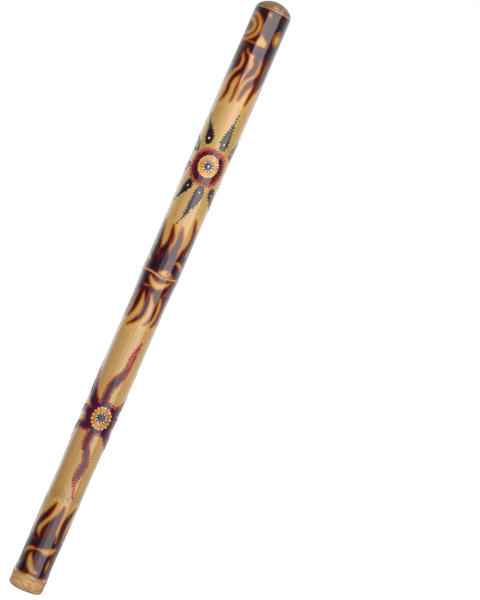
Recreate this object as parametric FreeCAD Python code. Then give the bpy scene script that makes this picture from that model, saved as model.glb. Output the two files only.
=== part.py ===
"""Bamboo rainstick: a closed culm with a helix of bamboo pins driven through its wall and loose pebbles inside.

Millimetres. The stick stands on its foot: the origin is the middle of the foot, and +Z runs along the stick.
"""

import FreeCAD, Part
import math
import os
import random

Vector = FreeCAD.Vector
UP = Vector(0, 0, 1)
CENTRE = Vector(0, 0, 0)

# Driving dimensions
STICK_LENGTH = 1000.0  # foot to the top of the dome
CAP_JOINT_Z = 981.0  # the culm's sawn top end, where the dome begins
BORE_RADIUS = 23.0  # the culm's natural hollow
LEDGE_RADIUS = 21.0  # what is left of a knocked-out diaphragm
LEDGE_HALF_HEIGHT = 1.5  # of that ledge's edge; it is twice as thick at the wall
FLOOR_Z = 24.0  # top of the diaphragm that closes the bottom end
FOOT_DISH_RADIUS = 17.0  # the hollow under the closing diaphragm
FOOT_DISH_DEPTH = 12.0
FOOT_ROUNDING = 5.0  # the foot's sanded outer edge

# Outer radius of the culm up the stick, straight between these places: (height, radius).
# The swellings at 23, 147 and 538 are its nodes.
CULM_OUTLINE = [
    (5.0, 28.0),
    (14.0, 28.1),
    (22.0, 28.6),
    (27.0, 28.2),
    (42.0, 27.1),
    (108.0, 27.8),
    (138.0, 27.9),
    (147.0, 28.3),
    (156.0, 27.7),
    (194.0, 27.5),
    (230.0, 28.2),
    (460.0, 28.2),
    (495.0, 27.9),
    (522.0, 28.9),
    (538.0, 29.9),
    (552.0, 29.3),
    (640.0, 29.2),
    (720.0, 30.2),
    (860.0, 30.4),
    (920.0, 29.5),
    (CAP_JOINT_Z, 29.4),
]

# Top cap
CAP_SPIGOT_LENGTH = 16.0
CAP_SPIGOT_CHAMFER = 1.5
CAP_RIM_SHARE = 0.65  # radius of the dome's rim arc, as a share of the dome's height
CAP_GLUE_GAP = 0.05  # between the spigot and the bore, on the radius

# Pins: one helix, a twelfth of a turn from each pin to the next
PIN_RADIUS = 1.25
PIN_PITCH = 9.6  # height from one pin to the next
FIRST_PIN_Z = 94.5
PINS_IN_A_TURN = 12
TURNS = 7
PIN_HOLE_RADIUS = 1.30
PIN_HOLE_START = 18.0  # the drill's cutter begins inside the hollow
PIN_HOLE_END = 34.0  # and ends outside the culm
PIN_SUNK = 0.06  # how far a sanded pin end lies under the culm's skin
PIN_END_GAP = 0.30  # from a pin's inner end to the far wall
PINS_UNDER_LEDGES = [5, 46]  # each knocked-out diaphragm is midway between this pin and the next

# Pebbles: flat, round grains, each half as wide as PEBBLE_WIDTHS and half as high as PEBBLE_HEIGHTS say
PEBBLE_WIDTHS = (2.40, 2.70)
PEBBLE_HEIGHTS = (1.80, 2.25)
PEBBLE_PROFILE = [(0.60, 1.00), (1.00, 0.35), (1.00, -0.35), (0.60, -1.00)]  # shares of half width and height
PEBBLE_GAP = 0.06  # between pebbles that rest on each other
COLUMN_RADIUS = 17.6  # the straight ways up between the pins, around the stick
COLUMN_PEBBLES = (10, 12)  # fewest and most pebbles in one column
CORE_WIDTH = 2.70  # half widths and heights of the heap's pebbles, all alike
CORE_HEIGHT = 2.05
CORE_SPACING = 5.8  # between neighbours in one layer
CORE_REACH = 11.7  # how far from the axis a pebble of the heap may be centred
CORE_LAYERS = 12
CORE_LAYER_STEP = 4.04

PIN_STEP_ANGLE = 2 * math.pi / PINS_IN_A_TURN
LEDGE_HEIGHTS = [FIRST_PIN_Z + (number + 0.5) * PIN_PITCH for number in PINS_UNDER_LEDGES]


def save(solids, node):
    """Writes one sub-part, of one or more separate solids, to its own file."""
    shape = solids[0] if len(solids) == 1 else Part.makeCompound(solids)
    shape.exportStep(os.path.join("parts", node + ".step"))
    print(node, len(solids), "solids", round(sum(s.Volume for s in solids)), "mm3")


def culm_radius(height):
    """The culm's outer radius at a height."""
    for (low, low_radius), (high, high_radius) in zip(CULM_OUTLINE, CULM_OUTLINE[1:]):
        if low <= height <= high:
            share = (height - low) / (high - low)
            return low_radius + share * (high_radius - low_radius)
    return CULM_OUTLINE[0][1]


def profile_point(radius, height):
    return Vector(radius, 0, height)


def revolved(edges):
    """A solid of revolution about the stick's axis, from a closed profile in the XZ plane."""
    return Part.makeSolid(Part.Face(Part.Wire(edges)).revolve(CENTRE, UP, 360))


def straight_edges(points):
    return [Part.makeLine(start, end) for start, end in zip(points, points[1:])]


def culm_blank():
    """The whole culm before drilling: skin, hollow with its two ledges, closing diaphragm and dished foot."""
    foot_radius = CULM_OUTLINE[0][1]
    flat_edge = profile_point(foot_radius - FOOT_ROUNDING, 0)
    diagonal = FOOT_ROUNDING * math.sin(math.pi / 4)
    rounding_middle = profile_point(foot_radius - FOOT_ROUNDING + diagonal, FOOT_ROUNDING - diagonal)
    dish_edge = profile_point(FOOT_DISH_RADIUS, 0)
    dish_top = profile_point(0, FOOT_DISH_DEPTH)
    dish_sphere = (FOOT_DISH_RADIUS**2 + FOOT_DISH_DEPTH**2) / (2 * FOOT_DISH_DEPTH)
    dish_half_angle = math.asin(FOOT_DISH_RADIUS / dish_sphere) / 2
    dish_middle = profile_point(
        dish_sphere * math.sin(dish_half_angle),
        FOOT_DISH_DEPTH - dish_sphere * (1 - math.cos(dish_half_angle)),
    )
    skin = [profile_point(radius, height) for height, radius in CULM_OUTLINE]

    hollow = [profile_point(BORE_RADIUS, CAP_JOINT_Z)]
    for height in reversed(LEDGE_HEIGHTS):
        hollow += [
            profile_point(BORE_RADIUS, height + 2 * LEDGE_HALF_HEIGHT),
            profile_point(LEDGE_RADIUS, height + LEDGE_HALF_HEIGHT),
            profile_point(LEDGE_RADIUS, height - LEDGE_HALF_HEIGHT),
            profile_point(BORE_RADIUS, height - 2 * LEDGE_HALF_HEIGHT),
        ]
    hollow += [profile_point(BORE_RADIUS, FLOOR_Z), profile_point(0, FLOOR_Z), dish_top]

    edges = [
        Part.Arc(dish_top, dish_middle, dish_edge).toShape(),
        Part.makeLine(dish_edge, flat_edge),
        Part.Arc(flat_edge, rounding_middle, skin[0]).toShape(),
    ]
    edges += straight_edges(skin)
    edges += straight_edges([skin[-1]] + hollow)
    return revolved(edges)


def pin_place(number):
    """A pin's height and the direction in which it was driven in from, an outward unit vector."""
    angle = number * PIN_STEP_ANGLE
    height = FIRST_PIN_Z + number * PIN_PITCH
    return height, Vector(math.cos(angle), math.sin(angle), 0)


def pin_hole(number):
    """The drill's cutter for one pin, through the near wall only."""
    height, outward = pin_place(number)
    start = Vector(0, 0, height) + outward * PIN_HOLE_START
    return Part.makeCylinder(PIN_HOLE_RADIUS, PIN_HOLE_END - PIN_HOLE_START, start, outward)


def pin(number):
    """One pin, from just under the culm's skin, across the hollow, to just short of the far wall."""
    height, outward = pin_place(number)
    inner_end = -(BORE_RADIUS - PIN_END_GAP)
    outer_end = culm_radius(height) - PIN_SUNK
    start = Vector(0, 0, height) + outward * inner_end
    return Part.makeCylinder(PIN_RADIUS, outer_end - inner_end, start, outward)


def make_culm():
    holes = [pin_hole(number) for number in range(PINS_IN_A_TURN * TURNS)]
    save(culm_blank().cut(holes).Solids, "bamboo_culm")


def make_pins():
    """One node for each turn of the helix."""
    for turn in range(TURNS):
        first = turn * PINS_IN_A_TURN
        save([pin(number) for number in range(first, first + PINS_IN_A_TURN)], f"pin_turn_{turn + 1}")


def make_cap():
    """A turned hardwood dome as wide as the culm, on a spigot that is glued into the hollow.

    The dome's side is a wide crown arc that runs smoothly into a tighter rim arc.
    """
    radius = CULM_OUTLINE[-1][1]
    height = STICK_LENGTH - CAP_JOINT_Z
    rim = CAP_RIM_SHARE * height
    crown = (radius**2 + height**2 - 2 * radius * rim) / (2 * (height - rim))
    join_angle = math.atan2(radius - rim, crown - height)
    rim_angle = (join_angle + math.pi / 2) / 2
    spigot_radius = BORE_RADIUS - CAP_GLUE_GAP
    spigot_end = CAP_JOINT_Z - CAP_SPIGOT_LENGTH

    def on_crown(angle):
        return profile_point(crown * math.sin(angle), STICK_LENGTH - crown * (1 - math.cos(angle)))

    rim_middle = profile_point(
        radius - rim + rim * math.sin(rim_angle),
        CAP_JOINT_Z + rim * math.cos(rim_angle),
    )
    dome_edge = profile_point(radius, CAP_JOINT_Z)
    dome = [
        Part.Arc(on_crown(0), on_crown(join_angle / 2), on_crown(join_angle)).toShape(),
        Part.Arc(on_crown(join_angle), rim_middle, dome_edge).toShape(),
    ]
    spigot = straight_edges([
        dome_edge,
        profile_point(spigot_radius, CAP_JOINT_Z),
        profile_point(spigot_radius, spigot_end + CAP_SPIGOT_CHAMFER),
        profile_point(spigot_radius - CAP_SPIGOT_CHAMFER, spigot_end),
        profile_point(0, spigot_end),
        profile_point(0, STICK_LENGTH),
    ])
    save([revolved(dome + spigot)], "top_cap")


def pebble(half_width, half_height, middle):
    """One grain that lies flat: a worn disc, bevelled above and below."""
    side = [profile_point(0, half_height)]
    for width_share, height_share in PEBBLE_PROFILE:
        side.append(profile_point(width_share * half_width, height_share * half_height))
    side.append(profile_point(0, -half_height))
    grain = revolved(straight_edges(side + [side[0]]))
    grain.translate(middle)
    return grain


def make_pebble_columns():
    """Grains stacked in the straight ways between the pins' directions, halfway between two directions."""
    chance = random.Random(12)
    for column in range(PINS_IN_A_TURN):
        angle = (column + 0.5) * PIN_STEP_ANGLE
        height = FLOOR_Z + PEBBLE_GAP
        grains = []
        for _ in range(chance.randint(*COLUMN_PEBBLES)):
            half_width = chance.uniform(*PEBBLE_WIDTHS)
            half_height = chance.uniform(*PEBBLE_HEIGHTS)
            middle = Vector(
                COLUMN_RADIUS * math.cos(angle),
                COLUMN_RADIUS * math.sin(angle),
                height + half_height,
            )
            grains.append(pebble(half_width, half_height, middle))
            height += 2 * half_height + PEBBLE_GAP
        print("column", column + 1, "top", round(height - PEBBLE_GAP, 2))
        save(grains, f"pebble_column_{column + 1:02d}")


def make_core_pebbles():
    """The heap on the diaphragm, below the first pin: layers of grains that nest in each other."""
    row_step = CORE_SPACING * math.sqrt(3) / 2
    reach = int(CORE_REACH / row_step) + 1
    grains = []
    for layer in range(CORE_LAYERS):
        nested = layer % 2
        height = FLOOR_Z + PEBBLE_GAP + CORE_HEIGHT + layer * CORE_LAYER_STEP
        for row in range(-reach, reach + 1):
            for place in range(-2 * reach, 2 * reach + 1):
                middle = Vector(
                    (place + row / 2) * CORE_SPACING,
                    row * row_step + nested * CORE_SPACING / math.sqrt(3),
                    height,
                )
                if math.hypot(middle.x, middle.y) <= CORE_REACH:
                    grains.append(pebble(CORE_WIDTH, CORE_HEIGHT, middle))
    print("core top", round(max(grain.BoundBox.ZMax for grain in grains), 2))
    save(grains, "core_pebbles")


os.makedirs("parts", exist_ok=True)
make_culm()
make_cap()
make_pins()
make_pebble_columns()
make_core_pebbles()
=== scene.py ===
"""Looks of the bamboo rainstick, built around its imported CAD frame.

Heights, distances and radii are in millimetres and angles in degrees, until a mesh is made in metres.
Angle 0 is the front of the stick, -Y, and angles grow towards +X. Heights count up from the foot.
"""

import math
import random

import bpy
import numpy as np
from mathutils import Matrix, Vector


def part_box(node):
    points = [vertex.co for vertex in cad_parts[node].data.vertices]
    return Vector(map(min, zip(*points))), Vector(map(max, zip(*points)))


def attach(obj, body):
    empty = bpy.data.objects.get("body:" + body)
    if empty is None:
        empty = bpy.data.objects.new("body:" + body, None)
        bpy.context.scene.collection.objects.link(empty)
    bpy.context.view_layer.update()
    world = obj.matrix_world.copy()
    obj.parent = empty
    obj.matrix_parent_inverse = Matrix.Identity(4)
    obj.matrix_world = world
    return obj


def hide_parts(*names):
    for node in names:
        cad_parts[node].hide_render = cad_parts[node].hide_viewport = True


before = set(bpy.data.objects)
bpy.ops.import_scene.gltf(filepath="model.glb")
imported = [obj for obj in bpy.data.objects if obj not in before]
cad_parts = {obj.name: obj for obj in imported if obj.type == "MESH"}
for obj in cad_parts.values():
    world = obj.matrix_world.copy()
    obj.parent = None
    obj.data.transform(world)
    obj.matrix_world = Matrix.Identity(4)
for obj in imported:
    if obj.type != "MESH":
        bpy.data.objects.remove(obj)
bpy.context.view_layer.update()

MM = 0.001
DOME_HEIGHT = 19.0  # of the cap, above its joint with the culm
CULM_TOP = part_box("top_cap")[1].z / MM - DOME_HEIGHT
LEAST_RADIUS = 26.5  # the culm is thinner than this only at the rounded edge of its foot
FOOT_EDGE = 4.0
USUAL_RADIUS = 28.0
BORE_RADIUS = 23.0
FLOOR_Z = 24.0  # top of the diaphragm that closes the hollow
DISH_RADIUS = 17.0  # the hollow under that diaphragm
DISH_DEPTH = 12.0
DISH_STEPS = 6
FOOT_RING_RADIUS = 20.0
LEDGES = [(147.3, 21.0), (540.9, 21.0)]  # knocked-out diaphragms: height and inner radius
NODE_RINGS = [(23.5, 0.70), (148.0, 0.35), (536.4, 0.80)]  # each node's ridge: height, how far it stands up
MIDDLE_NODE = NODE_RINGS[2][0]
MIDDLE_BUD_ANGLE = 14.0
SECTION_CUTS = [190.0, 363.0, 560.0, 760.0]  # the culm's skin is meshed in five lengths
COLUMNS = 216
FAR = 30.0  # value of a distance field where nothing is near
STROKE_REACH = 24.0  # a stroke's field is worked out this far from its middle line

THIRDS = (0.0, 120.0, 240.0)
HALVES = (0.0, 180.0)


# ---- the culm's grid

def cad_profile():
    """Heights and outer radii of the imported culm, read from its mesh."""
    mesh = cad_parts["bamboo_culm"].data
    places = np.empty(len(mesh.vertices) * 3)
    mesh.vertices.foreach_get("co", places)
    places = places.reshape(-1, 3) / MM
    radii = np.hypot(places[:, 0], places[:, 1])
    levels = np.round(places[:, 2], 1)
    heights, tops = [], []
    for level in np.unique(levels):
        radius = radii[levels == level].max()
        if radius > (LEAST_RADIUS if level > FOOT_EDGE else BORE_RADIUS - 0.1):
            heights.append(level)
            tops.append(radius)
    return np.array(heights), np.array(tops)


profile_heights, profile_radii = cad_profile()
foot_rows = [0.0, 0.4, 1.0, 1.8, 2.8, FOOT_EDGE]
row_heights = np.array(foot_rows + list(np.arange(FOOT_EDGE + 1.0, CULM_TOP - 0.5)) + [CULM_TOP])
column_angles = np.arange(COLUMNS) * 360.0 / COLUMNS
HEIGHT, ANGLE = np.meshgrid(row_heights, column_angles, indexing="ij")
RADIUS = np.interp(HEIGHT, profile_heights, profile_radii)


def skin_radius(height):
    return float(np.interp(height, profile_heights, profile_radii))


def wrapped(angle):
    return (angle + 180.0) % 360.0 - 180.0


def across(angle, centre_angle):
    """Distance around the culm from a line at centre_angle."""
    return np.radians(wrapped(angle - centre_angle)) * RADIUS


WAVES = 5


def wave(seed, around, along):
    """A smooth, seamless, seeded unevenness between about -1 and 1: at most around waves in a turn."""
    chance = random.Random(seed)
    total = np.zeros_like(HEIGHT)
    for _ in range(WAVES):
        turns = chance.randint(1, around)
        rise = chance.uniform(0.4, 1.0) * 2 * math.pi / along
        phase = chance.uniform(0, 2 * math.pi)
        total += np.sin(np.radians(ANGLE) * turns + HEIGHT * rise * chance.choice((-1, 1)) + phase)
    return total / WAVES


# ---- drawing on the culm

def spline(points, step=1.2):
    """A smooth curve through rows of numbers, with a row about every step millimetres."""
    rows = np.array(points, float)
    rows = np.vstack([2 * rows[0] - rows[1], rows, 2 * rows[-1] - rows[-2]])
    out = []
    for a, b, c, d in zip(rows, rows[1:], rows[2:], rows[3:]):
        length = math.hypot(c[0] - b[0], (c[1] - b[1]) * 0.5)
        for t in np.linspace(0, 1, max(2, int(length / step)), endpoint=False):
            out.append(0.5 * (2 * b + (c - a) * t + (2 * a - 5 * b + 4 * c - d) * t**2
                              + (3 * b - a - 3 * c + d) * t**3))
    out.append(rows[-2])
    return np.array(out)


def stroke_distance(points, turn=0.0, lift=0.0):
    """Signed distance to one stroke whose points are (height, angle, half width)."""
    curve = spline(points)
    curve[:, 0] += lift
    curve[:, 1] += turn
    field = np.full_like(HEIGHT, FAR)
    rows = np.flatnonzero((row_heights > curve[:, 0].min() - STROKE_REACH)
                          & (row_heights < curve[:, 0].max() + STROKE_REACH))
    middle = (curve[:, 1].min() + curve[:, 1].max()) / 2
    reach = (curve[:, 1].max() - curve[:, 1].min()) / 2 + math.degrees(STROKE_REACH / USUAL_RADIUS)
    columns = np.flatnonzero(np.abs(wrapped(column_angles - middle)) < reach)
    if not len(rows) or not len(columns):
        return field
    window = np.ix_(rows, columns)
    best = np.full((len(rows), len(columns)), FAR)
    for height, angle, half_width in curve:
        gap = np.hypot(HEIGHT[window] - height,
                       np.radians(wrapped(ANGLE[window] - angle)) * RADIUS[window]) - half_width
        best = np.minimum(best, gap)
    field[window] = best
    return field


def shape_shifts(lists, turns, seed):
    """Small shifts (angle, height) of each shape of a set at each turn, so that no two sides are the same."""
    chance = random.Random(seed)
    shifts = {}
    for turn in turns:
        shifts[turn] = []
        for _ in lists:
            nudge = 0.0 if turn == 0.0 else chance.uniform(-2.0, 2.0)
            lift = 0.0 if turn == 0.0 else chance.uniform(-2.5, 2.5)
            shifts[turn].append((nudge, lift))
    return shifts


def strokes(lists, turns, seed):
    """All strokes of a set, repeated around the culm, as one field."""
    field = np.full_like(HEIGHT, FAR)
    for turn, shifts in shape_shifts(lists, turns, seed).items():
        for points, (nudge, lift) in zip(lists, shifts):
            field = np.minimum(field, stroke_distance(points, turn + nudge, lift))
    return field


def band(low, high, unevenness, seed):
    """Signed distance to a belt all the way round, with wavy edges."""
    middle, half = (low + high) / 2, (high - low) / 2
    return np.abs(HEIGHT - middle + wave(seed, 7, 60.0) * unevenness) - half


def ellipse(height, angle, up, around):
    """Signed distance, nearly, to an ellipse with these half sizes."""
    dz = (HEIGHT - height) / up
    da = across(ANGLE, angle) / around
    return (np.hypot(dz, da) - 1) * min(up, around)


def ring(height, angle, up, around, half_width):
    """A closed band around an ellipse, of the same width all round."""
    dz, da = HEIGHT - height, across(ANGLE, angle)
    size = np.hypot(dz, da) + 1e-6
    edge = 1 / np.hypot(dz / size / up, da / size / around)
    return np.abs(size - edge) - half_width


def node_ring_height(height):
    """A node's ring isn't level: under its bud, on the front at the middle node, it dips."""
    if height != MIDDLE_NODE:
        return height + 0.6 * np.cos(np.radians(ANGLE + 100.0))
    dip = np.exp(-(wrapped(ANGLE - MIDDLE_BUD_ANGLE) / 32.0) ** 2)
    return height + 0.5 - 5.0 * dip


# Torch-burnt strokes. Each point is (height, angle, half width of the stroke).
FLAMES_UNDER_TOP = [
    [(910, -47, 4.5), (897, -42, 4.6), (889, -40, 4.6), (882, -42, 4.2), (875, -48, 3.2), (867, -55, 0.8)],
    [(906, -26, 3.5), (897, -16, 3.4), (889, -13, 3.8), (882, -13, 4), (876, -18, 4), (869, -27, 3.6),
     (862, -34, 3.3), (855, -37, 3), (849, -37, 2.6), (841, -35, 2.3), (832, -38, 1.8), (823, -45, 0.5)],
    [(884, -9, 3), (876, -9, 2.6), (868, -8, 2.2), (858, -8, 1.9), (848, -9, 1.7), (838, -9, 1.3),
     (826, -11, 0.4)],
    [(908, 18, 8), (897, 17, 5.6), (889, 17, 4.8), (882, 16, 4.4), (878, 12, 3.8), (871, 5, 3),
     (865, 1, 2.2), (858, -2, 0.8)],
    [(910, 44, 7), (897, 43, 4.6), (884, 43, 4.2), (871, 43, 4.2), (860, 43, 3.6), (853, 42, 3),
     (846, 39, 2.2), (838, 37, 1.4), (829, 34, 0.4)],
    [(876, 35, 3.4), (868, 28, 4), (860, 20, 4), (850, 14, 3.2), (841, 11, 2.2), (832, 9, 0.6)],
    [(908, 62, 5), (896, 62, 4.6), (884, 62, 4.2), (870, 58, 3.4), (862, 54, 2.2), (855, 52, 0.6)],
]
FLAMES_OVER_MIDDLE = [
    [(615, -20, 0.6), (606, -15, 2.8), (598, -11, 4), (590, -10, 4.4), (582, -12, 4.8), (572, -18, 5.6),
     (556, -20, 6)],
    [(616, 10, 0.6), (608, 12, 2.6), (600, 15, 4), (588, 16, 4.8), (576, 14, 5.6), (560, 9, 7)],
    [(634, 41, 0.6), (626, 46, 1.9), (618, 52, 2.9), (608, 57, 3.6), (596, 57, 4.2), (585, 51, 4.8),
     (575, 43, 6)],
    [(620, -60, 0.6), (609, -55, 2.2), (598, -52, 3.6), (588, -49, 4.6), (578, -43, 5.2), (568, -36, 5.4)],
]
FLAMES_UNDER_MIDDLE = [
    [(506, -34, 4.2), (496, -35, 4.2), (485, -35, 4), (473, -37, 3), (463, -43, 1.6), (458, -47, 0.5)],
    [(505, -14, 4.5), (496, -7, 3.8), (487, -1, 3.7), (478, 1, 3.6), (470, 0, 3.4), (461, -8, 2.8),
     (453, -21, 2), (446, -35, 0.5)],
    [(506, 17, 6), (498, 23, 4.4), (490, 29, 3), (482, 32, 2.6), (474, 33, 2.4), (464, 29, 1.8),
     (454, 19, 0.5)],
    [(504, 48, 4), (490, 57, 3), (478, 58, 2.8), (466, 54, 2.2), (455, 45, 0.5)],
    [(505, -60, 4.6), (492, -62, 4.4), (480, -62, 3.4), (468, -60, 1.8), (459, -58, 0.5)],
]
FLAMES_OVER_FOOT = [
    [(147, -11, 0.5), (141, -14, 1.8), (134, -19, 3.2), (127, -24, 3.8), (117, -37, 4.6), (108, -46, 3.8),
     (100, -50, 3.6), (91, -44, 4.2), (86, -31, 4.4)],
    [(145, 17, 0.6), (138, 17, 2.4), (130, 15, 3.8), (120, 9, 5.4), (113, 1, 6), (105, -12, 4.2),
     (97, -16, 3.8), (88, -10, 5)],
    [(128, 13, 3.6), (116, 8, 7), (105, 6, 7.8), (97, 8, 8.6), (91, 13, 10), (86, 14, 10)],
    [(147, 60, 0.5), (141, 56, 2), (134, 51, 3.4), (126, 46, 4.4), (118, 44, 4.6), (110, 44, 4.6),
     (102, 46, 4.6), (94, 49, 4.8), (86, 51, 5)],
]
# Pale strands left unburnt, cut out of the dark.
STRANDS_UNDER_TOP = [
    [(912, -26, 0.8), (908, -22, 1.5), (903, -7, 2), (896, 3, 2.5), (889, 6, 2.5), (881, 2, 2.3),
     (874, -2, 2.2), (865, -4, 2.2), (855, -2, 2.2), (846, -1, 2.4)],
    [(901, -37, 0.8), (895, -29, 1.9), (889, -25, 2.3), (882, -27, 2.5), (876, -38, 2.6), (870, -48, 2.6),
     (864, -50, 2.6), (855, -48, 2.6)],
    [(903, 25, 0.5), (897, 28, 1.4), (891, 32, 1.9), (884, 34, 2.1), (878, 30, 2.3), (871, 19, 2.6),
     (865, 9, 2.7), (859, 5, 2.7), (850, 3, 2.8)],
    [(897, 51, 0.5), (888, 52, 0.9), (880, 53, 0.7)],
]
LIGHTS_OVER_MIDDLE = [
    [(560, 30, 1), (562, 37, 2.4), (561, 47, 3.6), (558, 58, 3.6), (554, 68, 2.2)],
    [(538, -6, 1), (539, 4, 4.4), (540, 14, 6), (540, 25, 5), (539, 36, 3), (538, 44, 1.2)],
    [(572, -33, 0.5), (568, -31, 1), (563, -33, 0.4)],
    [(584, 0, 2.6), (576, 1, 1.8), (569, 3, 0.5)],
    [(582, 31, 3), (574, 31, 2), (567, 30, 0.5)],
    [(580, -31, 2), (573, -32, 0.5)],
]
LIGHTS_UNDER_MIDDLE = [
    [(530, -26, 1.2), (526, -20, 3.2), (521, -10, 4.6), (518, 3, 5.8), (518, 14, 5.8), (521, 26, 4.6),
     (525, 36, 3), (530, 44, 1.2)],
    [(514, -42, 0.5), (513, -30, 1.2), (514, -14, 1), (515, -8, 0.3)],
    [(519, 52, 0.4), (512, 49, 1), (504, 37, 0.6)],
]
LIGHTS_OVER_FOOT = [
    [(58, -54, 2.2), (64, -46, 3.4), (67, -34, 3.4), (69, -14, 1.4), (70, 2, 2.6), (69, 15, 5),
     (70, 26, 6), (73, 38, 5), (77, 50, 2.4)],
    [(62, -22, 0.6), (57, -24, 2.8), (52, -22, 4.4), (47, -18, 5.2), (42, -13, 5.4), (38, -6, 4.8),
     (35, 3, 3.8), (34, 13, 2.6), (35, 22, 1)],
    [(59, 42, 0.5), (53, 45, 2.4), (46, 46, 2.6), (39, 46, 0.8)],
]


TOP_BURN = (906, 985)
TOP_GROOVE = (923.8, 925.4)
TOP_GROOVE_END = (-40, 33.0)  # the groove's middle, and how far it runs on the front's right
TARGET_ANGLES = (-68, 172)
TARGET_HEIGHT = 948
TARGET_RINGS = ((12.8, 16.0, 4), (23.0, 25.8, 3))  # half height, half width, half thickness
TARGET_SCORCH = (949, 25.5, 31)  # height, half height, half width
TARGET_EYE = (951, 7.5, 8)
OVAL = (942, 51, 8.4, 5.6)  # height, angle, half height, half width
OVAL_SCORCH = (943, 50, 13.0, 8.5)
TOP_LIGHTS = [
    [(941, -1, 0.6), (936, 1, 3), (931, 4, 6), (927, 6, 8.6)],
    [(975, -7, 1.8), (973, -2, 2.6), (970, 3, 1)],
]
SCORCH_FADE = 2.4
BUD_SCAR = (542, 31, 3.6, 4.2, 0.5)
RIDGE_HALF = 1.9  # the middle node's ridge is left clear of burns


def top_burn():
    """The band under the cap with its targets and lights, and the flames that hang from it."""
    burnt = np.minimum(strokes(FLAMES_UNDER_TOP, THIRDS, 3), band(*TOP_BURN, 1.2, 11))
    lights = strokes(STRANDS_UNDER_TOP, THIRDS, 3)
    for angle in TARGET_ANGLES:
        for up, around, half in TARGET_RINGS:
            lights = np.minimum(lights, ring(TARGET_HEIGHT, angle, up, around, half))
    lights = np.minimum(lights, ellipse(*OVAL))
    for points in TOP_LIGHTS:
        lights = np.minimum(lights, stroke_distance(points))
    middle, reach = TOP_GROOVE_END
    groove = np.maximum(band(*TOP_GROOVE, 0.8, 5), across(ANGLE, middle) - reach)
    lights = np.minimum(lights, groove)
    # Between its rings each target is only scorched, and so is the skin around the small oval.
    for angle in TARGET_ANGLES:
        height, up, around = TARGET_SCORCH
        eye_height, eye_up, eye_around = TARGET_EYE
        eye = ellipse(eye_height, angle, eye_up, eye_around)
        scorched = np.maximum(ellipse(height, angle, up, around), -eye)
        burnt = np.maximum(burnt, -SCORCH_FADE * np.maximum(scorched, 0.0))
    burnt = np.maximum(burnt, -SCORCH_FADE * np.maximum(ellipse(*OVAL_SCORCH), 0.0))
    burnt = np.maximum(burnt, -lights)
    burnt = np.minimum(burnt, band(907, 921.5, 0.8, 5))
    # The first strand runs on up, through the soot.
    return np.maximum(burnt, -strokes(STRANDS_UNDER_TOP[:1], THIRDS, 3))


def middle_burn():
    """Flames on both sides of the middle node, whose ridge stays clear."""
    ridge = node_ring_height(MIDDLE_NODE)
    above = np.maximum(band(500, 577, 3.0, 12), ridge + RIDGE_HALF - HEIGHT)
    above = np.minimum(strokes(FLAMES_OVER_MIDDLE, THIRDS, 4), above)
    above = np.maximum(above, -strokes(LIGHTS_OVER_MIDDLE, THIRDS, 4))
    above = np.minimum(above, np.maximum(ring(*BUD_SCAR), 0.3))
    below = np.maximum(band(503, 560, 1.5, 13), HEIGHT - ridge + RIDGE_HALF)
    below = np.minimum(strokes(FLAMES_UNDER_MIDDLE, THIRDS, 5), below)
    below = np.maximum(below, -strokes(LIGHTS_UNDER_MIDDLE, THIRDS, 5))
    return np.minimum(above, below)


def foot_burn():
    foot = np.minimum(strokes(FLAMES_OVER_FOOT, THIRDS, 6), band(27.4, 88, 3.0, 14))
    return np.maximum(foot, -strokes(LIGHTS_OVER_FOOT, THIRDS, 6))


# ---- the painted motifs

UPPER_MOTIF = (719.6, 6.6)
UPPER_RING = (717.4, 6.2)
LOWER_MOTIF = (294.5, 12.5)
LOWER_EYE = (295.2, 12.0)
# Drop shapes around the upper motif: (height, angle, half width), with the eye's place first.
DROPS = [
    [(756, -25, 6), (761, -26, 7.4), (767, -28, 6.9), (773, -33, 5.2), (779, -38, 3.4), (785, -44, 2),
     (791, -50, 1.2), (798, -58, 0.5)],
    [(755, 24, 5.6), (760, 24, 6.9), (767, 24, 6.6), (774, 25, 5.3), (781, 27, 3.8), (788, 28, 2.4),
     (798, 30, 1.2), (810, 31, 0.4)],
    [(747, 68, 5.4), (752, 69, 6.2), (758, 72, 5.4), (764, 76, 3.8), (772, 82, 2), (781, 88, 0.6)],
    [(740, -55, 5.2), (744, -59, 6), (749, -66, 5.2), (754, -74, 3.8), (760, -83, 2), (767, -91, 0.6)],
    [(686, -28, 6), (681, -30, 7.2), (675, -35, 5.8), (668, -41, 3.8), (662, -48, 2.3), (656, -57, 1.3),
     (651, -66, 0.5)],
    [(682, 13, 5.6), (677, 12.5, 7.2), (670, 11, 7.2), (663, 9, 6.4), (656, 6, 5.2), (649, 3, 4),
     (641, 0, 2.8), (634, -4, 1.8), (627, -10, 1), (620, -14, 0.5)],
    [(685, 53, 5.8), (680, 55, 6.8), (674, 60, 5.6), (669, 68, 4), (663, 78, 2.3), (658, 89, 0.6)],
    [(712, -64, 4.6), (709, -70, 5.2), (704, -77, 3.8), (699, -85, 1.6)],
]
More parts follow.
